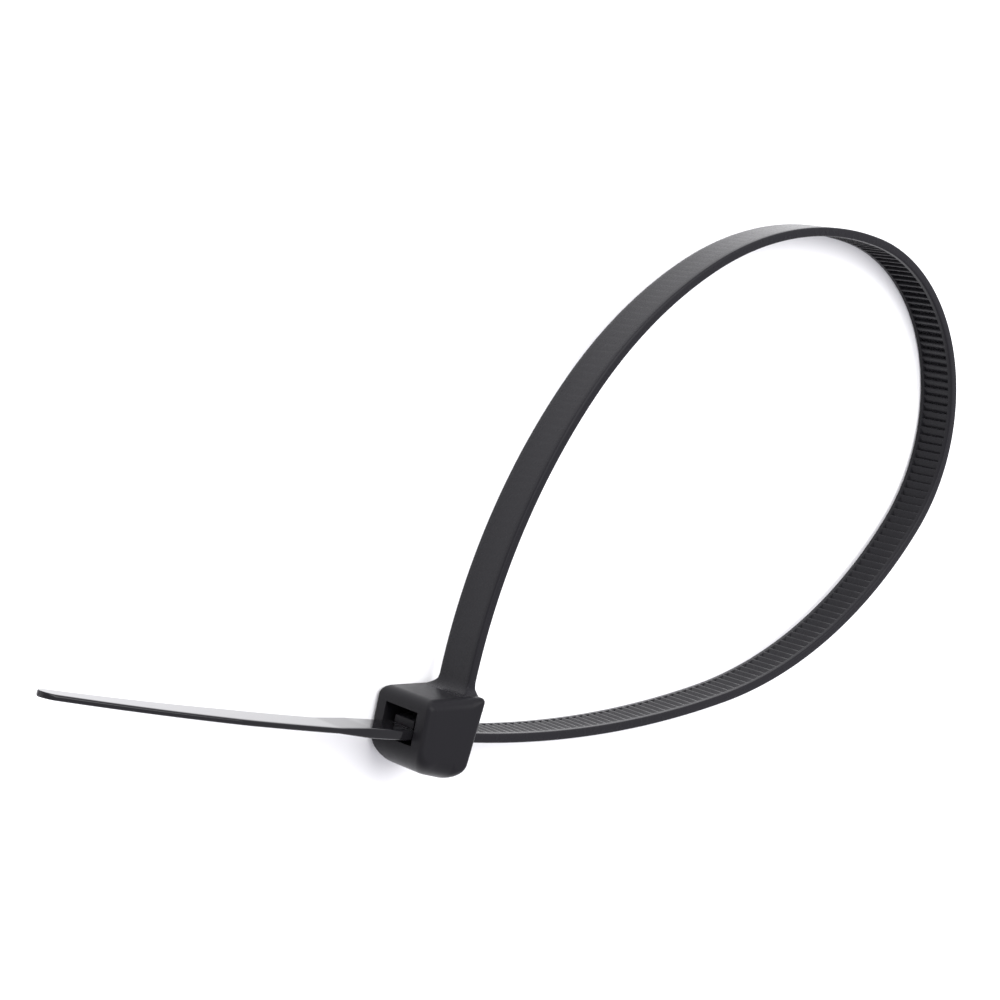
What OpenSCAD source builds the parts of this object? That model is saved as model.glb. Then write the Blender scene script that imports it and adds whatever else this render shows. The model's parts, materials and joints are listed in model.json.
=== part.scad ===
// Self-locking cable tie, pulled into a loop: a toothed strap whose root grows out of
// the top of a locking head, runs round an egg-shaped loop and passes through the
// slot of that same head, with the smooth tail standing out on the far side.
// The strap lies on its side edge, as a loose tie comes to rest on a table.

/* [Strap] */
// width of the strap across its side edges
strap_w = 7.6; // [3:0.1:12]
// thickness of the toothed strap
strap_t = 1.6; // [1:0.05:2.4]
// small bevel along the strap's long edges
strap_bevel = 0.2; // [0.05:0.05:0.4]

/* [Teeth] */
// distance from one tooth to the next
tooth_pitch = 1.55; // [1:0.05:3]
// depth of each tooth's notch
tooth_depth = 0.7; // [0.3:0.05:1]
// flat land on the tip of each tooth
tooth_land = 0.3; // [0.15:0.05:0.6]
// width of the toothed band between the two smooth rails
rack_w = 5.6; // [2:0.1:9]
// smooth length of strap between the head and the first tooth
plain_root = 9; // [4:0.5:30]

/* [Loop] */
// radius of the shoulder, above the rising side
shoulder_r = 78.5; // [50:0.5:110]
// radius of the crown, over the top of the loop
crown_r = 60; // [40:0.5:90]
// radius of the nose, the tightest bend
nose_r = 33; // [20:0.5:50]
// radius of the belly, the underside of the loop
belly_r = 76.5; // [45:0.5:100]
// share of the whole turn taken by the rising side
rise_turn = 29.5; // [15:0.5:45]
// share of the whole turn taken by the shoulder
shoulder_turn = 23.5; // [15:0.5:45]
// share of the whole turn taken by the crown
crown_turn = 40.5; // [20:0.5:60]
// share of the whole turn taken by the nose
nose_turn = 115; // [80:0.5:140]
// share of the whole turn taken by the belly
belly_turn = 42.5; // [20:0.5:60]
// share of the whole turn taken by the run into the slot
lead_turn = 17.5; // [10:0.5:45]

/* [Tail] */
// length of the tail outside the head
tail_len = 65; // [30:1:150]
// thickness of the smooth tail
tail_t = 0.9; // [0.6:0.05:1.4]
// thick stretch of the strap that has come through the slot
run_out = 8; // [2:0.5:14]
// degrees that this thick stretch bends
run_bend = 1.7; // [0.5:0.1:4]
// length over which the strap thins down to the tail
thin_len = 6; // [2:0.5:12]
// radius that the tail curls on
tail_r = 950; // [300:10:4000]
// length of the tapered end of the tail
taper_len = 34; // [10:1:60]
// width of the tail at its rounded tip
tip_w = 4.2; // [2:0.1:7]

/* [Head] */
// width of the head, along the strap's width
head_w = 13.4; // [8:0.1:20]
// depth of the head, along the slot
head_depth = 11.6; // [7:0.1:18]
// height of the head's front above the line of the slot
head_rise = 5.8; // [4.5:0.1:10]
// height of the head's front below the line of the slot
head_drop = 5.9; // [2.5:0.1:9]
// how far the head's top climbs from front to back
top_climb = 1.4; // [0:0.1:3]
// how far the head's underside falls from front to back
floor_fall = 1.1; // [0:0.1:2]
// how far the back face leans in from top to bottom
back_lean = 1.5; // [0:0.1:3]
// rounding of the head's upright edges
head_round = 0.8; // [0.4:0.1:1.6]
// rounding of the head's upper edges
top_round = 1.8; // [0.8:0.1:2.4]
// rounding of the head's lower front edge
chin_round = 4.4; // [1:0.1:5]
// rounding of the head's other lower edges
jaw_round = 3.2; // [1:0.1:4]
// step from the head's back face to the strap's toothed face
root_inset = 0.6; // [0.3:0.1:2]
// fillet between the head's top and the strap's smooth face
root_fillet = 2.3; // [0.8:0.1:4]
// flare of the strap's foot toward each side of the head
foot_flare = 2.2; // [0.5:0.1:2.6]
// height above the head's top at which the flare starts
foot_up = 0.9; // [0.5:0.1:2]
// height over which the foot flares
foot_fall = 2.3; // [1:0.1:4]

/* [Lock] */
// degrees that the slot falls toward the front of the head
slot_tilt = 1.4; // [0:0.1:3]
// clearance between the strap and the slot, on each side
slot_gap = 0.25; // [0.1:0.05:0.5]
// extra opening under the strap at the front of the slot
exit_drop = 0.6; // [0:0.1:1.2]
// opening above the strap for the pawl to lift
pawl_room = 2.7; // [2.2:0.1:6]
// how far the rack and the pawl stop short of the front face
tip_set = 0.7; // [0.3:0.1:3]
// width of the pawl
pawl_w = 4.8; // [2:0.1:8]
// thickness of the pawl's hinge
hinge_t = 1.0; // [0.5:0.05:1.5]
// opening above the hinge
hinge_gap = 0.9; // [0.3:0.1:1.5]
// number of teeth on the pawl
pawl_teeth = 3; // [1:1:4]
// clearance between the pawl's teeth and the strap's
mesh_gap = 0.15; // [0.08:0.01:0.3]
// thickness of the pawl's tip
pawl_tip_t = 1.1; // [0.6:0.1:2]

/* [Hidden] */

nylon = [0.10, 0.10, 0.11];
facets = 256;
round_steps = 8;
cut_past = 1;
// every second stretch of strap is slimmer by a hair, and its ends run into its neighbours
slim = 0.002;
lap = 0.02;
// degrees from the strap's heading at its root to its heading in the slot
full_turn = 270 - slot_tilt;

// head planes; the slot's line starts at its back end, at y = 0, and runs to the front
front_x = -head_depth / 2;
back_x = head_depth / 2;
root_x = back_x - root_inset - strap_t / 2;
inner_y = strap_t / 2;
slot_low = -strap_t / 2 - slot_gap;
slot_high = strap_t / 2 + slot_gap;
slot_w = strap_w + 2 * slot_gap;
cavity_top = slot_high + pawl_room;
top_angle = atan(top_climb / head_depth);
floor_angle = atan(floor_fall / head_depth);
top_back = head_rise + top_climb;
floor_back = -head_drop - floor_fall;
function top_at(x) = head_rise + (x - front_x) * tan(top_angle);
function back_face(y) = back_x - back_lean * (top_back - y) / (top_back - floor_back);
function slot_point(x, y) = [back_x + (x - back_x) * cos(slot_tilt) - y * sin(slot_tilt),
    (x - back_x) * sin(slot_tilt) + y * cos(slot_tilt)];

// the six arcs of the loop; the first and the last radius close it on the slot
turn_sum = rise_turn + shoulder_turn + crown_turn + nose_turn + belly_turn + lead_turn;
turns = [for (t = [rise_turn, shoulder_turn, crown_turn, nose_turn, belly_turn, lead_turn])
    t * full_turn / turn_sum];
set_radii = [0, shoulder_r, crown_r, nose_r, belly_r, 0];
function sum_to(v, n) = n <= 0 ? 0 : v[n - 1] + sum_to(v, n - 1);
function heading(i) = 90 - sum_to(turns, i);
// chord of an arc of radius 1 that starts at heading h and turns clockwise by a
function unit_chord(h, a) = [sin(h) - sin(h - a), cos(h - a) - cos(h)];
chords = [for (i = [0:5]) unit_chord(heading(i), turns[i])];
function set_sum(n) = n < 1 ? [0, 0] : set_radii[n] * chords[n] + set_sum(n - 1);
reach_left = [back_x - root_x, -top_at(root_x)] - set_sum(4);
chord_cross = chords[0].x * chords[5].y - chords[0].y * chords[5].x;
rise_r = (reach_left.x * chords[5].y - reach_left.y * chords[5].x) / chord_cross;
lead_r = (chords[0].x * reach_left.y - chords[0].y * reach_left.x) / chord_cross;
radii = [rise_r, shoulder_r, crown_r, nose_r, belly_r, lead_r];
lengths = [for (i = [0:5]) radii[i] * turns[i] * PI / 180];
starts = [for (i = [0:6]) sum_to(lengths, i)];
function joint(n) = n < 1 ? [root_x, top_at(root_x)] : joint(n - 1) + radii[n - 1] * chords[n - 1];
joints = [for (i = [0:6]) joint(i)];
loop_len = starts[6];

// place on the middle line at a distance s from the root: [x, y, heading]
function arc_of(s, i = 0) = i >= 6 || s < starts[i + 1] ? i : arc_of(s, i + 1);
function on_arc(s, i) = let (a = (s - starts[i]) / radii[i] * 180 / PI,
    p = joints[i] + radii[i] * unit_chord(heading(i), a)) [p.x, p.y, heading(i) - a];
function place(s) = let (p = slot_point(back_x + loop_len - s, 0))
    s >= loop_len ? [p.x, p.y, slot_tilt - 180] : on_arc(s, arc_of(s));

// the rack is counted back from the slot, so that it always meshes with the pawl
rack_end_x = front_x + tip_set;
rack_end_s = loop_len + back_x - rack_end_x;
rack_count = floor((rack_end_s - plain_root) / tooth_pitch);
ramp_len = tooth_pitch - tooth_land;

// the strap that has come through: a thick bend, a thinning stretch and the curling tail
run_r = run_out / run_bend * 180 / PI;
run_start = place(loop_len + head_depth);
run_end = [run_start.x, run_start.y] + run_r * unit_chord(run_start[2], run_bend);
tail_heading = run_start[2] - run_bend;
thin_end = run_end + thin_len * [cos(tail_heading), sin(tail_heading)];
tail_turn = (tail_len - run_out - thin_len) / tail_r * 180 / PI;
tip = thin_end + tail_r * unit_chord(tail_heading, tail_turn);

// rounded outlines

function arc_points(c, r, a0, a1, n = round_steps) =
    [for (i = [0:n]) c + r * [cos(a0 + (a1 - a0) * i / n), sin(a0 + (a1 - a0) * i / n)]];

// rectangle from corner a to corner b with rounded corners, radius r
function round_box(a, b, r) = concat(
    arc_points([b.x - r, b.y - r], r, 0, 90),
    arc_points([a.x + r, b.y - r], r, 90, 180),
    arc_points([a.x + r, a.y + r], r, 180, 270),
    arc_points([b.x - r, a.y + r], r, 270, 360));

// rounding of the corner b between a and c with radius r, as a list of points
function unit(v) = v / norm(v);
function round_corner(a, b, c, r) = let (u = unit(a - b), v = unit(c - b),
    half = acos(u * v) / 2, d = r / tan(half), m = b + unit(u + v) * r / sin(half),
    p = b + u * d - m, q = b + v * d - m, a0 = atan2(p.y, p.x), a1 = atan2(q.y, q.x),
    w = a1 - a0 > 180 ? a1 - 360 : (a1 - a0 < -180 ? a1 + 360 : a1))
    arc_points(m, r, a0, w);

// half-plane section of the strap for one arc, with bevelled long edges
module strap_section(radius, t, inner, less = 0) {
    lo = radius + inner + less;
    hi = radius + inner + t - less;
    c = strap_bevel;
    z = strap_w / 2 - less;
    polygon([[lo + c, -z], [hi - c, -z], [hi, -z + c], [hi, z - c],
        [hi - c, z], [lo + c, z], [lo, z - c], [lo, -z + c]]);
}

// the strap, stretch by stretch

module on_line(p) {
    translate([p.x, p.y, 0])
        rotate([0, 0, p[2]])
            children();
}

// arc of strap of thickness t that starts at the place p and turns toward its inner face
module bend(p, radius, turn, t, less = 0, before = 0, after = 0) {
    past = after / radius * 180 / PI;
    on_line([p.x + radius * sin(p[2]), p.y - radius * cos(p[2]), p[2] + 90 - turn - past])
        rotate_extrude(angle = turn + past + before / radius * 180 / PI, $fn = facets)
            strap_section(radius, t, -t / 2, less);
}

module straight(length) {
    rotate([90, 0, 90])
        linear_extrude(height = length)
            strap_section(0, strap_t, -strap_t / 2);
}

module loop_arc(i) {
    odd = i % 2;
    bend([joints[i].x, joints[i].y, heading(i)], radii[i], turns[i], strap_t, odd * slim,
        i == 0 ? top_round : odd * lap, odd * lap);
}

module run_through() {
    on_line([back_x, 0, slot_tilt - 180])
        straight(head_depth);
    bend(run_start, run_r, run_bend, strap_t, slim, lap, lap);
    on_line([run_end.x, run_end.y, tail_heading])
        intersection() {
            straight(thin_len);
            sloped(1);
            sloped(-1);
        }
}

// strap turned a little, so that its upper (side 1) or lower (side -1) face sinks to the tail's
module sloped(side) {
    flat = 2 * lap;
    slope = atan((strap_t - tail_t) / 2 / (thin_len - flat));
    translate([flat, side * inner_y, 0])
        rotate([0, 0, -side * slope])
            translate([-cut_past, -side * inner_y, 0])
                straight(thin_len + 2 * cut_past);
}

module tail_plan() {
    side = strap_w / 2 + cut_past;
    taper_x = tip.x + taper_len;
    polygon(concat(
        [[thin_end.x + cut_past, side], [taper_x, side], [taper_x, strap_w / 2]],
        arc_points([tip.x + tip_w / 2, 0], tip_w / 2, 90, 270, 2 * round_steps),
        [[taper_x, -strap_w / 2], [taper_x, -side], [thin_end.x + cut_past, -side]]));
}

module tail() {
    intersection() {
        bend([thin_end.x, thin_end.y, tail_heading], tail_r, tail_turn, tail_t, slim, lap);
        rotate([90, 0, 0])
            linear_extrude(height = tail_len, center = true)
                tail_plan();
    }
}

// one saw-tooth notch: a ramp that sinks toward the tail, then a steep wall
module notch(s) {
    over = strap_t / 4;
    on_line(place(s))
        linear_extrude(height = rack_w, center = true)
            polygon([[-ramp_len * (1 + over / tooth_depth), -inner_y - over],
                [0, -inner_y - over], [0, -inner_y + tooth_depth]]);
}

module strap() {
    difference() {
        union() {
            for (i = [0:5])
                loop_arc(i);
            run_through();
        }
        for (k = [0:rack_count - 1])
            notch(rack_end_s - tooth_land - k * tooth_pitch);
    }
    tail();
}

// the locking head

// side outline of the head, with rounded corners
ft = [front_x, head_rise];
fb = [front_x, -head_drop];
bb = [back_x - back_lean, floor_back];
bt = [back_x, top_back];
head_side = concat(round_corner(bt, ft, fb, top_round), round_corner(ft, fb, bb, chin_round),
    round_corner(fb, bb, bt, jaw_round), round_corner(bb, bt, ft, head_round));

// long bar with rounded edges, whose upper face holds the line through p at the angle a
module edge_bar(p, a, edge_r) {
    deep = 2 * (top_back - floor_back);
    translate([p.x, p.y, 0])
        rotate([0, 0, a])
            translate([-head_depth, 0, 0])
                rotate([90, 0, 90])
                    linear_extrude(height = 3 * head_depth)
                        polygon(round_box([-deep, -head_w / 2], [0, head_w / 2], edge_r));
}

module head_block() {
    intersection() {
        linear_extrude(height = head_w, center = true)
            polygon(head_side);
        rotate([90, 0, 0])
            linear_extrude(height = 2 * (top_back - floor_back), center = true)
                polygon(round_box([front_x, -head_w / 2], [back_x, head_w / 2], head_round));
        edge_bar(ft, top_angle, top_round);
        edge_bar(bb, 180 - floor_angle, jaw_round);
    }
}

// foot of the strap: filleted to the head's top, flared to its sides
module foot() {
    bite = strap_bevel / 4;
    x = root_x - strap_t / 2 - root_fillet + bite;
    c = [x, top_at(x) + root_fillet / cos(top_angle)];
    foot_low = top_back - 2 * top_round;
    foot_z = strap_w / 2 + foot_flare;
    flare_y = top_at(root_x) + foot_up;
    heel = top_back - head_round;
    intersection() {
        linear_extrude(height = 2 * foot_z, center = true)
            polygon(concat(
                [[c.x, foot_low], [back_face(foot_low) - bite, foot_low],
                    [back_face(heel) - bite, heel], [root_x + strap_t / 2 - bite, c.y]],
                arc_points(c, root_fillet, 360, 270 + top_angle)));
        translate([c.x - root_fillet, 0, 0])
            rotate([90, 0, 90])
                linear_extrude(height = head_depth)
                    polygon([[foot_low - cut_past, -foot_z], [foot_low - cut_past, foot_z],
                        [flare_y - foot_fall, foot_z], [flare_y, strap_w / 2 - bite],
                        [c.y + cut_past, strap_w / 2 - bite], [c.y + cut_past, bite - strap_w / 2],
                        [flare_y, bite - strap_w / 2], [flare_y - foot_fall, -foot_z]]);
    }
}

// the slot and its pawl

first_wall_x = rack_end_x + tooth_land;
hinge_x = first_wall_x + pawl_teeth * tooth_pitch + hinge_t;
hinge_y = cavity_top - hinge_gap - hinge_t;
mouth_x = back_face(0);

// side outline of the slot: a close throat at the back, room for the pawl in front
module cavity() {
    lead = 3 * slot_gap;
    out = front_x - cut_past;
    intersection() {
        linear_extrude(height = slot_w, center = true)
            polygon([[out, slot_low - exit_drop], [front_x, slot_low - exit_drop], [hinge_x, slot_low],
                [mouth_x - lead, slot_low], [mouth_x + 2 * lead, slot_low - 3 * lead],
                [mouth_x + 2 * lead, slot_high + 3 * lead], [mouth_x - lead, slot_high],
                [hinge_x, slot_high], [hinge_x, cavity_top], [out, cavity_top]]);
        translate([out - cut_past, 0, 0])
            rotate([90, 0, 90])
                linear_extrude(height = 2 * head_depth)
                    polygon(round_box([-cavity_top, -slot_w / 2], [cavity_top, slot_w / 2], 2 * slot_gap));
    }
}

// points of one pawl tooth, kept clear of the notch that it sits in
tooth_slope = tooth_depth / ramp_len;
ramp_gap = mesh_gap * norm([1, tooth_slope]);
function pawl_tooth(k) = let (x = first_wall_x + k * tooth_pitch,
    low = inner_y - tooth_depth + tooth_slope * mesh_gap + ramp_gap, high = inner_y + mesh_gap)
    [[x + mesh_gap, high], [x + mesh_gap, low],
        [x + mesh_gap + (high - low) / tooth_slope, high]];

module pawl() {
    tip_x0 = first_wall_x + mesh_gap;
    under = inner_y + mesh_gap;
    teeth = [for (k = [0:pawl_teeth - 1], p = pawl_tooth(k)) p];
    linear_extrude(height = pawl_w, center = true)
        polygon(concat([for (i = [1:len(teeth) - 1]) teeth[i]],
            [[hinge_x - hinge_t / 2, hinge_y], [hinge_x + cut_past, hinge_y],
                [hinge_x + cut_past, hinge_y + hinge_t], [hinge_x - hinge_t, hinge_y + hinge_t],
                [tip_x0, under + pawl_tip_t]]));
}

// the slot's own level, tilted about the back end of its line
module on_slot() {
    translate([back_x, 0, 0])
        rotate([0, 0, slot_tilt])
            translate([-back_x, 0, 0])
                children();
}

module moulding() {
    difference() {
        union() {
            head_block();
            foot();
        }
        on_slot()
            cavity();
    }
    on_slot()
        pawl();
    strap();
}

// the lying tie leans on a side corner of the head and on the far edge of the loop,
// toward the bearing that brings its middle of mass lowest
step = 2;
strap_mass = strap_t - tooth_depth * rack_w / strap_w / 2;
tail_mass = tail_t * (strap_w * tail_len - (strap_w - tip_w) * taper_len / 2);
head_mass = head_w * head_depth * (top_back - floor_back + head_rise + head_drop) / 2;
masses = concat([for (s = [0:step:loop_len]) let (p = place(s)) [p.x, p.y, strap_mass * strap_w * step]],
    [[(thin_end.x + tip.x) / 2, thin_end.y, tail_mass],
        [run_end.x, run_end.y, (strap_t - tail_t) * strap_w * (run_out + thin_len / 2)],
        [0, (head_rise - head_drop) / 2, head_mass],
        [(front_x + hinge_x) / 2, (slot_low + cavity_top) / 2,
            slot_w * (front_x - hinge_x) * (cavity_top - slot_low - strap_t)]]);
function sum_of(v, n) = n < 0 ? 0 * v[0] : v[n] + sum_of(v, n - 1);
moments = sum_of([for (m = masses) [m.x * m[2], m.y * m[2], m[2]]], len(masses) - 1);
mass_middle = [moments.x, moments.y] / moments[2];
lean_corner = [back_x - head_round, top_back - top_round];
rim = [for (s = [0:step / 4:loop_len]) let (p = place(s), o = inner_y - strap_bevel)
    [p.x - o * sin(p[2]), p.y + o * cos(p[2])]];
function rim_reach(n) = max([for (p = rim) (p - lean_corner) * n]);
bearings = [0:90];
sinks = [for (b = bearings) let (n = [cos(b), sin(b)]) (mass_middle - lean_corner) * n / rim_reach(n)];
lean_bearing = search(max(sinks), sinks)[0];
lean_dir = [cos(lean_bearing), sin(lean_bearing)];
lean = atan((head_w - strap_w) / 2 / rim_reach(lean_dir));
lift = head_w / 2 * cos(lean) + lean_corner * lean_dir * sin(lean);

// a point of the leaning tie, seen from above
function lay(p) = let (u = [p.x, p.y] * lean_dir, v = p.y * lean_dir.x - p.x * lean_dir.y,
    w = u * cos(lean) + p.z * sin(lean))
    [w * lean_dir.x - v * lean_dir.y, w * lean_dir.y + v * lean_dir.x];
edge_z = strap_w / 2 - strap_bevel;
ends = concat([for (s = [0:0.5:loop_len], z = [-edge_z, edge_z]) let (p = place(s))
        lay([p.x - inner_y * sin(p[2]), p.y + inner_y * cos(p[2]), z])],
    [for (z = [-tip_w / 4, tip_w / 4]) lay([tip.x, tip.y, z])],
    [for (p = head_side, z = [-1, 1]) lay([p.x, p.y, z * (head_w / 2 - jaw_round)])]);
middle = [for (i = [0:1]) (max([for (p = ends) p[i]]) + min([for (p = ends) p[i]])) / 2];

module lie_down() {
    translate([-middle.x, -middle.y, lift])
        rotate([0, 0, lean_bearing])
            rotate([0, lean, 0])
                rotate([0, 0, -lean_bearing])
                    children();
}

module cable_tie() {
    color(nylon)
        lie_down()
            moulding();
}

cable_tie();
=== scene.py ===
"""A black nylon cable tie pulled into a loop, lying on a pale floor.

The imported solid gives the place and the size. The strap, the head and the pawl are drawn
again with rounded moulded edges, in the head's own frame: X along the slot, with the strap
leaving toward -X, Y up through the strap's root, Z across the strap's width. Lengths are in
millimetres and become metres in the one step that lays the tie down.
"""

import json
import math

import bmesh
import bpy
from mathutils import Matrix, Vector


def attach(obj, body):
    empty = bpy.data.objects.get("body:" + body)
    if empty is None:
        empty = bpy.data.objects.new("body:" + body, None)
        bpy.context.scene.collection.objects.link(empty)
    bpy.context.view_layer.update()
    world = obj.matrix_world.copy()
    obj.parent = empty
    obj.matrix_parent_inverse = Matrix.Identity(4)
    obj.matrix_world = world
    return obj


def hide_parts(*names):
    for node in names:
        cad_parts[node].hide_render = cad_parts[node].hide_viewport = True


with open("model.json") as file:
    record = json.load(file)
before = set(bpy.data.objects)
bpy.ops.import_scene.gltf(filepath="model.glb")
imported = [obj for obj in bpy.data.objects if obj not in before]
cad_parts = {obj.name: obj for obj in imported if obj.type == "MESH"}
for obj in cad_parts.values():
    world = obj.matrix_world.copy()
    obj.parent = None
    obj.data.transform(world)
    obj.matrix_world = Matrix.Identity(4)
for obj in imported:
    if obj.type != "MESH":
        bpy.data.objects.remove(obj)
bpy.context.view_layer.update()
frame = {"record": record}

MM = 0.001

# Strap
STRAP_W = 7.6
STRAP_T = 1.6
EDGE_R = 0.32
EDGE_STEPS = 4
STRAP_START = -2.0

# Teeth
PITCH = 1.55
DEPTH = 0.7
LAND = 0.3
RACK_W = 5.6
PLAIN_ROOT = 9.0
TOOTH_SOFTNESS = 0.06
RACK_LIP = 0.1
SINK_DEPTH = 0.018

# Loop, from the head's top round to the slot; the first and the last radius close it
SHOULDER_R = 78.5
CROWN_R = 60.0
NOSE_R = 33.0
BELLY_R = 76.5
TURN_SHARES = (29.5, 23.5, 40.5, 115.0, 42.5, 17.5)

# Tail
TAIL_LEN = 65.0
TAIL_T = 0.9
RUN_OUT = 8.0
RUN_BEND = math.radians(1.7)
THIN_LEN = 6.0
TAIL_R = 950.0
TAPER_LEN = 34.0
TIP_W = 4.2
TIP_STEPS = 10

# Distances between the rings of the strap's mesh where it has no teeth
RING_STEP = 1.2
FOOT_RING_STEP = 0.2
THIN_RING_STEP = 0.5
THIN_RING_REACH = 1.0

# Head
HEAD_W = 13.4
HEAD_DEPTH = 11.6
HEAD_RISE = 5.8
HEAD_DROP = 5.9
TOP_CLIMB = 1.4
FLOOR_FALL = 1.1
BACK_LEAN = 1.5
HEAD_ROUND = 0.8
TOP_ROUND = 1.8
CHIN_ROUND = 4.4
JAW_ROUND = 3.2
CORNER_STEPS = 10

# Foot of the strap on the head's top
ROOT_INSET = 0.6
ROOT_FILLET = 2.3
FOOT_FLARE = 2.2
FOOT_UP = 0.9
FOOT_FALL = 2.3
FOOT_CLEAR = 0.1
HEEL_CLEAR = 0.03

# Lock
SLOT_TILT = math.radians(1.4)
SLOT_GAP = 0.25
EXIT_DROP = 0.6
CAVITY_ROUND = 0.1
RIM_ROUND = 0.3
RIM_ANGLE = math.radians(50)
PAWL_ROOM = 2.7
TIP_SET = 0.7
PAWL_W = 4.8
PAWL_TEETH = 3
PAWL_TIP_T = 1.1
PAWL_TIP_ROUND = 0.25
PAWL_TOOTH_ROUND = 0.05
PAWL_VALLEY_ROUND = 0.02
MESH_GAP = 0.15
HINGE_T = 1.0
HINGE_GAP = 0.9
HINGE_ROUND = 0.3
HEEL_ROUND = 0.2
CRISP_SIDE = 0.02

# How far the pawl's root is drawn into the head's wall, and the slot past the head's front
OVERRUN = 1.0

# The mount head_side touches the head's lower side at this x, level with the slot's line
MOUNT_X = -0.2

# Looks: HUE tints the black of all the nylon
HUE = (1.0, 0.97, 1.12)
GRAIN_SCALE = 900
GRAIN_DETAIL = 4
GRAIN_STRENGTH = 0.12
GRAIN_HEIGHT_M = 0.00005
SHARP_ANGLE = math.radians(38)
FLOOR_SIZE_M = 6
FLOOR_TONE = 0.88
ROOM_COLOR = (0.99, 0.98, 1.05, 1)
ROOM_STRENGTH = 1.04

# Where the photograph was taken from, in the head's frame
CAMERA_AT = Vector((-235.99, 55.34, 273.56))
CAMERA_AIM = Vector((5.61, 38.16, -0.02))
CAMERA_ROLL = math.radians(104.737)
CAMERA_LENS = 82.23

front_x = -HEAD_DEPTH / 2
back_x = HEAD_DEPTH / 2
top_back = HEAD_RISE + TOP_CLIMB
floor_back = -HEAD_DROP - FLOOR_FALL
top_angle = math.atan(TOP_CLIMB / HEAD_DEPTH)

half_t = STRAP_T / 2
root_x = back_x - ROOT_INSET - half_t
root_y = HEAD_RISE + TOP_CLIMB * (root_x - front_x) / HEAD_DEPTH
full_turn = math.radians(270) - SLOT_TILT

# how far after the head's top the fillet between the head and the strap ends
fillet_end = ROOT_FILLET / math.cos(top_angle) - (half_t + ROOT_FILLET) * math.tan(top_angle)

slot_low = -half_t - SLOT_GAP
slot_high = half_t + SLOT_GAP
cavity_top = slot_high + PAWL_ROOM
mouth_x = back_x - BACK_LEAN * top_back / (top_back - floor_back)
slot_end = Vector((back_x, 0, 0))
slot_level = Matrix.Translation(slot_end) @ Matrix.Rotation(SLOT_TILT, 4, "Z")
slot_level = slot_level @ Matrix.Translation(-slot_end)

ramp_len = PITCH - LAND
rack_end_x = front_x + TIP_SET
first_wall_x = rack_end_x + LAND
hinge_x = first_wall_x + PAWL_TEETH * PITCH + HINGE_T
hinge_y = cavity_top - HINGE_GAP - HINGE_T


def back_face(y):
    return back_x - BACK_LEAN * (top_back - y) / (top_back - floor_back)


def slot_point(x, y):
    """A point of the slot's own level, which tilts about the back end of the slot's line."""
    c, s = math.cos(SLOT_TILT), math.sin(SLOT_TILT)
    return Vector((back_x + (x - back_x) * c - y * s, (x - back_x) * s + y * c))


def heading_vector(h):
    return Vector((math.cos(h), math.sin(h)))


def chord(h, a):
    """Chord of an arc of radius 1 that starts at heading h and turns clockwise by a."""
    return Vector((math.sin(h) - math.sin(h - a), math.cos(h - a) - math.cos(h)))


def close_loop():
    """Radii, headings, lengths and joints of the six arcs between the head's top and the slot."""
    turns = [full_turn * share / sum(TURN_SHARES) for share in TURN_SHARES]
    headings = [math.pi / 2 - sum(turns[:i]) for i in range(len(turns))]
    chords = [chord(h, a) for h, a in zip(headings, turns)]
    radii = [0.0, SHOULDER_R, CROWN_R, NOSE_R, BELLY_R, 0.0]
    left = Vector((back_x - root_x, -root_y))
    for r, c in zip(radii, chords):
        left -= r * c
    cross = chords[0].cross(chords[-1])
    radii[0] = left.cross(chords[-1]) / cross
    radii[-1] = chords[0].cross(left) / cross
    joints = [Vector((root_x, root_y))]
    for r, c in zip(radii, chords):
        joints.append(joints[-1] + r * c)
    lengths = [r * a for r, a in zip(radii, turns)]
    return radii, headings, lengths, joints


radii, headings, lengths, joints = close_loop()
loop_len = sum(lengths)
rack_end_s = loop_len + back_x - rack_end_x
front_s = loop_len + HEAD_DEPTH
thick_end_s = front_s + RUN_OUT
thin_end_s = thick_end_s + THIN_LEN
end_s = front_s + TAIL_LEN


def place(s):
    """Point and heading of the strap's middle line, s millimetres after the head's top."""
    if s < 0:
        return Vector((root_x, root_y + s)), math.pi / 2
    for r, h, length, joint in zip(radii, headings, lengths, joints):
        if s < length:
            return joint + r * chord(h, s / r), h - s / r
        s -= length
    h = SLOT_TILT - math.pi
    if s < HEAD_DEPTH:
        return slot_point(back_x - s, 0), h
    p = slot_point(front_x, 0)
    s -= HEAD_DEPTH
    run_r = RUN_OUT / RUN_BEND
    if s < RUN_OUT:
        return p + run_r * chord(h, s / run_r), h - s / run_r
    p, h = p + run_r * chord(h, RUN_BEND), h - RUN_BEND
    s -= RUN_OUT
    if s < THIN_LEN:
        return p + s * heading_vector(h), h
    p, s = p + THIN_LEN * heading_vector(h), s - THIN_LEN
    return p + TAIL_R * chord(h, s / TAIL_R), h - s / TAIL_R


def notch_rows():
    """(s, depth) of the rack, tooth by tooth: a ramp that sinks toward the tail, then a steep wall.

    The factors of DEPTH round off the ramp's start, its foot and the top of the wall.
    """
    count = math.floor((rack_end_s - PLAIN_ROOT) / PITCH)
    soft = TOOTH_SOFTNESS
    rows = []
    for k in range(count):
        wall = rack_end_s - LAND - k * PITCH
        start = wall - ramp_len
        rows += [
            (start - soft, 0.0),
            (start + soft, DEPTH * soft / ramp_len * 0.6),
            (wall - 2 * soft, DEPTH * (1 - 2 * soft / ramp_len)),
            (wall - soft / 2, DEPTH * 0.93),
            (wall, DEPTH * 0.1),
            (wall + soft, 0.0),
        ]
    return rows


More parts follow.
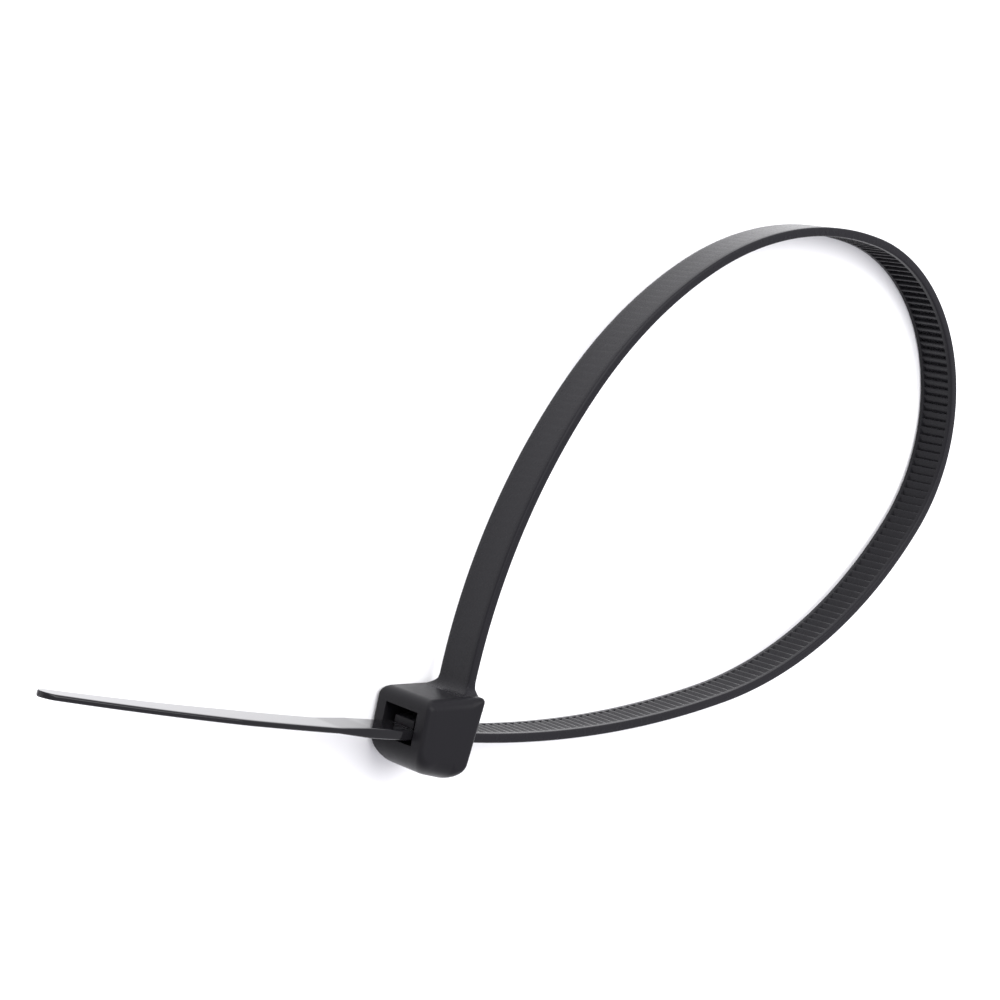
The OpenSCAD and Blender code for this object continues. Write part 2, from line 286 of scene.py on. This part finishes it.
def strap_rows():
    """Every (s, notch depth) that the strap's mesh has a ring at."""
    rows = dict((round(s, 4), d) for s, d in notch_rows())
    rack_start = min(rows)
    s = STRAP_START
    while s < rack_start - RING_STEP / 2:
        rows[round(s, 4)] = 0.0
        s += FOOT_RING_STEP if s < fillet_end else RING_STEP
    s = rack_end_s + LAND
    while s < end_s - TIP_W / 2:
        rows[round(s, 4)] = 0.0
        s += THIN_RING_STEP if s < thin_end_s + THIN_RING_REACH else RING_STEP
    for i in range(TIP_STEPS):
        to_end = TIP_W / 2 * (1 - math.sin(math.pi / 2 * i / TIP_STEPS))
        rows[round(end_s - to_end, 4)] = 0.0
    return sorted(rows.items())


def half_width(s):
    """Half of the strap's width: flared at its foot, tapered and rounded at the tail's end."""
    to_end = end_s - s
    if to_end < TIP_W / 2:
        return math.sqrt(max(TIP_W * to_end - to_end**2, 0.0))
    taper = min(1.0, (to_end - TIP_W / 2) / (TAPER_LEN - TIP_W / 2))
    widest = (HEAD_W - STRAP_W) / 2 - FOOT_CLEAR
    flare = min(widest, FOOT_FLARE * max(0.0, FOOT_UP - s) / FOOT_FALL)
    return (TIP_W + (STRAP_W - TIP_W) * taper) / 2 + flare


def faces_at(s):
    """Offsets of the outer and the inner face from the middle line."""
    thin = (STRAP_T - TAIL_T) / 2 * min(1.0, max(0.0, (s - thick_end_s) / THIN_LEN))
    outer, inner = half_t - thin, thin - half_t
    if s < fillet_end:
        below = min(fillet_end - s, ROOT_FILLET * math.cos(top_angle))
        outer += ROOT_FILLET - math.sqrt(ROOT_FILLET**2 - below**2)
        heel = top_back - HEAD_ROUND
        y = root_y + s
        reach = back_face(min(y, heel)) - root_x - half_t - HEEL_CLEAR
        inner -= reach * min(1.0, (root_y + fillet_end - y) / (root_y + fillet_end - heel))
    return outer, inner


def sink(s, z):
    """Faint hollow on the outer face behind each tooth, as thick plastic draws in when it cools."""
    if s < PLAIN_ROOT or s > rack_end_s:
        return 0.0
    band = max(0.0, 1 - (2 * z / RACK_W) ** 4)
    return SINK_DEPTH * band * (1 + math.cos(2 * math.pi * (s - rack_end_s) / PITCH))


def ring(s, depth):
    """Outline of the strap across its length, as (offset, z), going round from the outer face."""
    w = half_width(s)
    outer, inner = faces_at(s)
    r = min(EDGE_R, w * 0.5, (outer - inner) * 0.45)
    rack = RACK_W / 2 * min(1.0, w / (STRAP_W / 2))
    lip = min(RACK_LIP, rack * 0.1)
    quarter = [math.pi / 2 * i / EDGE_STEPS for i in range(EDGE_STEPS + 1)]
    points = []
    for z in (-(w - r), -rack, -rack / 2, 0.0, rack / 2, rack, w - r):
        points.append((outer - sink(s, z), z))
    for a in quarter[1:]:
        points.append((outer - r + r * math.cos(a), w - r + r * math.sin(a)))
    for a in quarter:
        points.append((inner + r - r * math.sin(a), w - r + r * math.cos(a)))
    points.append((inner, rack + lip))
    for z in (rack - lip / 3, rack / 3, -rack / 3, lip / 3 - rack):
        points.append((inner + depth, z))
    points.append((inner, -rack - lip))
    for a in reversed(quarter):
        points.append((inner + r - r * math.sin(a), -(w - r) - r * math.cos(a)))
    for a in reversed(quarter[1:]):
        points.append((outer - r + r * math.cos(a), -(w - r) - r * math.sin(a)))
    return points


def loft(name, rings):
    """Closed mesh through rings of equally many points, capped at both ends."""
    mesh = bpy.data.meshes.new(name)
    n = len(rings[0])
    verts = [p for row in rings for p in row]
    faces = [tuple(reversed(range(n))), tuple(range(len(verts) - n, len(verts)))]
    for i in range(len(rings) - 1):
        a, b = i * n, (i + 1) * n
        faces += [(a + j, a + (j + 1) % n, b + (j + 1) % n, b + j) for j in range(n)]
    mesh.from_pydata(verts, [], faces)
    bm = bmesh.new()
    bm.from_mesh(mesh)
    bmesh.ops.recalc_face_normals(bm, faces=bm.faces)
    bm.to_mesh(mesh)
    bm.free()
    obj = bpy.data.objects.new(name, mesh)
    bpy.context.collection.objects.link(obj)
    return obj


def make_strap():
    rows = strap_rows()
    rings = []
    for s, depth in rows:
        p, h = place(s)
        out = Vector((-math.sin(h), math.cos(h)))
        rings.append([(p.x + out.x * n, p.y + out.y * n, z) for n, z in ring(s, depth)])
    strap = loft("strap", rings)
    # the mesh has its two end caps first, then the faces ring by ring from the head on;
    # past the rack they take the second material, the smooth tail's
    first_smooth = 2 + len(rings[0]) * sum(s < rack_end_s for s, _ in rows)
    for polygon in strap.data.polygons:
        polygon.material_index = int(polygon.index >= first_smooth)
    return strap


def round_corner(a, b, c, r):
    """Points that round the corner b between a and c, and the direction from the rounding's centre."""
    u, v = (a - b).normalized(), (c - b).normalized()
    half = math.acos(max(-1.0, min(1.0, u.dot(v)))) / 2
    centre = b + (u + v).normalized() * r / math.sin(half)
    start, end = b + u * r / math.tan(half) - centre, b + v * r / math.tan(half) - centre
    a0 = math.atan2(start.y, start.x)
    turn = math.atan2(start.cross(end), start.dot(end))
    ways = [heading_vector(a0 + turn * i / CORNER_STEPS) for i in range(CORNER_STEPS + 1)]
    return [(centre + r * way, way) for way in ways]


def crisp_outline(corners):
    """Outline through corners given as (x, y, radius), for draw_out, with nearly sharp side edges."""
    points = [Vector(c[:2]) for c in corners]
    outline = []
    for i, corner in enumerate(corners):
        arc = round_corner(points[i - 1], points[i], points[(i + 1) % len(points)], corner[2])
        outline += [(point, way, CRISP_SIDE) for point, way in arc]
    return outline


def draw_out(name, outline, half_w, steps):
    """Draws an outline out to half_w on both sides of z = 0.

    The outline is a list of (point, outward direction, rounding of the side edge there).
    """
    angles = [math.pi / 2 * i / steps for i in range(steps + 1)]
    rings = []
    for side, a in [(-1, a) for a in reversed(angles)] + [(1, a) for a in angles]:
        rings.append([])
        for point, way, r in outline:
            flat = point - way * r * (1 - math.cos(a))
            rings[-1].append((flat.x, flat.y, side * (half_w - r + r * math.sin(a))))
    return loft(name, rings)


def apply_modifiers(obj, *settings):
    """Puts modifiers on obj and applies them, each given as (kind, {attribute: value})."""
    for kind, values in settings:
        modifier = obj.modifiers.new(kind.title(), kind)
        for key, value in values.items():
            setattr(modifier, key, value)
    graph = bpy.context.evaluated_depsgraph_get()
    mesh = bpy.data.meshes.new_from_object(obj.evaluated_get(graph))
    obj.modifiers.clear()
    obj.data = mesh


def head_outline():
    """Side outline of the head for draw_out."""
    corners = (
        (Vector((front_x, HEAD_RISE)), TOP_ROUND, TOP_ROUND, HEAD_ROUND),
        (Vector((front_x, -HEAD_DROP)), CHIN_ROUND, HEAD_ROUND, JAW_ROUND),
        (Vector((back_x - BACK_LEAN, floor_back)), JAW_ROUND, JAW_ROUND, HEAD_ROUND),
        (Vector((back_x, top_back)), HEAD_ROUND, HEAD_ROUND, HEAD_ROUND),
    )
    outline = []
    for i, (corner, r, before, after) in enumerate(corners):
        arc = round_corner(corners[i - 1][0], corner, corners[(i + 1) % len(corners)][0], r)
        for k, (point, way) in enumerate(arc):
            t = k / CORNER_STEPS
            outline.append((point, way, before + (after - before) * t * t * (3 - 2 * t)))
    # the top's side edges take their full rounding on again beside the strap's foot
    point, way, r = outline[-1]
    blend_steps, blend_step = 4, 0.5
    for k in range(1, blend_steps + 1):
        beside = point - blend_step * k * heading_vector(top_angle)
        outline.append((beside, way, r + (TOP_ROUND - r) * k / blend_steps))
    return outline


def make_cavity():
    """What the slot, the pawl's room and the flared mouth take out of the head."""
    out = front_x - OVERRUN
    lead = 3 * SLOT_GAP
    corners = (
        (out, slot_low - EXIT_DROP),
        (front_x, slot_low - EXIT_DROP),
        (hinge_x, slot_low),
        (mouth_x - lead, slot_low),
        (mouth_x + 2 * lead, slot_low - 3 * lead),
        (mouth_x + 2 * lead, slot_high + 3 * lead),
        (mouth_x - lead, slot_high),
        (hinge_x, slot_high),
        (hinge_x, cavity_top),
        (out, cavity_top),
    )
    outline = crisp_outline([(x, y, CAVITY_ROUND) for x, y in corners])
    cavity = draw_out("cavity", outline, STRAP_W / 2 + SLOT_GAP, 1)
    cavity.data.transform(slot_level)
    return cavity


def make_head():
    head = draw_out("head", head_outline(), HEAD_W / 2, CORNER_STEPS)
    cavity = make_cavity()
    cut = {"operation": "DIFFERENCE", "object": cavity, "solver": "EXACT"}
    rim = {"width": RIM_ROUND, "segments": 3, "limit_method": "ANGLE", "angle_limit": RIM_ANGLE}
    apply_modifiers(head, ("BOOLEAN", cut), ("BEVEL", rim))
    bpy.data.objects.remove(cavity)
    return head


def make_pawl():
    slope = DEPTH / ramp_len
    high = half_t + MESH_GAP
    low = half_t - DEPTH + slope * MESH_GAP + MESH_GAP * math.hypot(1, slope)
    corners = []
    for k in range(PAWL_TEETH):
        x = first_wall_x + k * PITCH + MESH_GAP
        corners += [(x, low, PAWL_TOOTH_ROUND), (x + (high - low) / slope, high, PAWL_TOOTH_ROUND)]
        if k < PAWL_TEETH - 1:
            corners.append((x + PITCH, high, PAWL_VALLEY_ROUND))
    corners += [
        (hinge_x - HINGE_T / 2, hinge_y, HEEL_ROUND),
        (hinge_x + OVERRUN, hinge_y, PAWL_TOOTH_ROUND),
        (hinge_x + OVERRUN, hinge_y + HINGE_T, PAWL_TOOTH_ROUND),
        (hinge_x - HINGE_T, hinge_y + HINGE_T, HINGE_ROUND),
        (first_wall_x + MESH_GAP, high + PAWL_TIP_T, PAWL_TIP_ROUND),
    ]
    pawl = draw_out("pawl", crisp_outline(corners), PAWL_W / 2, 1)
    pawl.data.transform(slot_level)
    return pawl


def lying_matrix():
    """Lays the head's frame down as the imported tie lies, from the mount on the head's lower side."""
    mount = next(m for m in frame["record"]["mounts"] if m["name"] == "head_side")
    normal = Vector(mount["axis"])
    bearing = math.atan2(-normal.y, -normal.x)
    lean = math.acos(-normal.z)
    turn = Matrix.Rotation(bearing, 4, "Z") @ Matrix.Rotation(lean, 4, "Y")
    turn = turn @ Matrix.Rotation(-bearing, 4, "Z")
    side_spot = Vector((MOUNT_X, 0.0, -HEAD_W / 2)) * MM
    return Matrix.Translation(Vector(mount["pos_m"]) - turn @ side_spot) @ turn


lying = lying_matrix()


def nylon(name, black, smoothest, roughest, ior, head_on):
    """Black nylon with a fine grain, whose roughness wanders between two values.

    A head_on below 1 dims the reflection seen head-on and leaves the grazing one bright.
    """
    material = bpy.data.materials.new(name)
    material.use_nodes = True
    nodes, links = material.node_tree.nodes, material.node_tree.links
    shader = nodes["Principled BSDF"]
    shader.inputs["Base Color"].default_value = (*(part * black for part in HUE), 1)
    shader.inputs["IOR"].default_value = ior
    shader.inputs["Specular Tint"].default_value = (head_on, head_on, head_on, 1)
    coords = nodes.new("ShaderNodeTexCoord")
    grain = nodes.new("ShaderNodeTexNoise")
    grain.inputs["Scale"].default_value = GRAIN_SCALE
    grain.inputs["Detail"].default_value = GRAIN_DETAIL
    links.new(coords.outputs["Object"], grain.inputs["Vector"])
    spread = nodes.new("ShaderNodeMapRange")
    spread.inputs["To Min"].default_value = smoothest
    spread.inputs["To Max"].default_value = roughest
    links.new(grain.outputs["Fac"], spread.inputs["Value"])
    links.new(spread.outputs["Result"], shader.inputs["Roughness"])
    bump = nodes.new("ShaderNodeBump")
    bump.inputs["Strength"].default_value = GRAIN_STRENGTH
    bump.inputs["Distance"].default_value = GRAIN_HEIGHT_M
    links.new(grain.outputs["Fac"], bump.inputs["Height"])
    links.new(bump.outputs["Normal"], shader.inputs["Normal"])
    return material


def dress(obj, *materials):
    """Lays obj down with the tie, in metres, and gives it the tie's materials and body."""
    obj.data.transform(lying @ Matrix.Scale(MM, 4))
    for material in materials:
        obj.data.materials.append(material)
    for polygon in obj.data.polygons:
        polygon.use_smooth = True
    obj.data.set_sharp_from_angle(angle=SHARP_ANGLE)
    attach(obj, "root")
    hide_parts("cable_tie")


def make_floor():
    bpy.ops.mesh.primitive_plane_add(size=FLOOR_SIZE_M)
    floor = bpy.context.object
    floor.name = "floor"
    material = bpy.data.materials.new("floor")
    material.use_nodes = True
    shader = material.node_tree.nodes["Principled BSDF"]
    shader.inputs["Base Color"].default_value = (FLOOR_TONE, FLOOR_TONE, FLOOR_TONE, 1)
    shader.inputs["Roughness"].default_value = 0.9
    shader.inputs["Specular IOR Level"].default_value = 0.1
    floor.data.materials.append(material)


def area_light(name, place_m, size, watts, aim=(0, 0, 0)):
    light = bpy.data.lights.new(name, "AREA")
    light.shape = "DISK"
    light.size = size
    light.energy = watts
    obj = bpy.data.objects.new(name, light)
    obj.location = place_m
    obj.rotation_euler = (Vector(aim) - Vector(place_m)).to_track_quat("-Z", "Y").to_euler()
    bpy.context.collection.objects.link(obj)


def make_light():
    """An even pale room, a soft light overhead, and a small one for the floor that the tail mirrors."""
    world = bpy.data.worlds.new("studio")
    world.use_nodes = True
    back = world.node_tree.nodes["Background"]
    back.inputs["Color"].default_value = ROOM_COLOR
    back.inputs["Strength"].default_value = ROOM_STRENGTH
    bpy.context.scene.world = world
    bpy.context.scene.view_settings.view_transform = "Standard"
    area_light("key", (0.15, 0.45, 1.1), size=1.0, watts=13)
    area_light("tail_glow", (-0.15, 0.30, 0.25), size=0.3, watts=1.4, aim=(-0.05, 0.06, 0))


def make_camera():
    forward = (CAMERA_AIM - CAMERA_AT).normalized()
    level_right = forward.cross(Vector((0, 0, 1))).normalized()
    level_up = level_right.cross(forward)
    right = level_right * math.cos(CAMERA_ROLL) + level_up * math.sin(CAMERA_ROLL)
    up = right.cross(forward)
    pose = Matrix((right, up, -forward)).transposed().to_4x4()
    pose.translation = CAMERA_AT * MM
    data = bpy.data.cameras.new("camera")
    data.lens = CAMERA_LENS
    data.clip_start = 0.01
    camera = bpy.data.objects.new("camera", data)
    camera.matrix_world = lying @ pose
    bpy.context.collection.objects.link(camera)
    bpy.context.scene.camera = camera


moulded = nylon("moulded_nylon", black=0.0095, smoothest=0.30, roughest=0.42, ior=1.21, head_on=0.6)
# The strap's nylon has a smoother, satin finish, which is real. Its black is a little lighter than the
# head's, which is painted light: it lifts the shaded notches of the rack and covers the strap from its
# foot to the end of the rack.
satin_and_painted_fill = nylon("satin_nylon_painted_fill", black=0.0115, smoothest=0.22, roughest=0.32, ior=1.31, head_on=0.25)
smooth = nylon("smooth_nylon", black=0.0065, smoothest=0.05, roughest=0.09, ior=1.9, head_on=0.15)
dress(make_strap(), satin_and_painted_fill, smooth)
dress(make_head(), moulded)
dress(make_pawl(), moulded)
make_floor()
make_light()
make_camera()
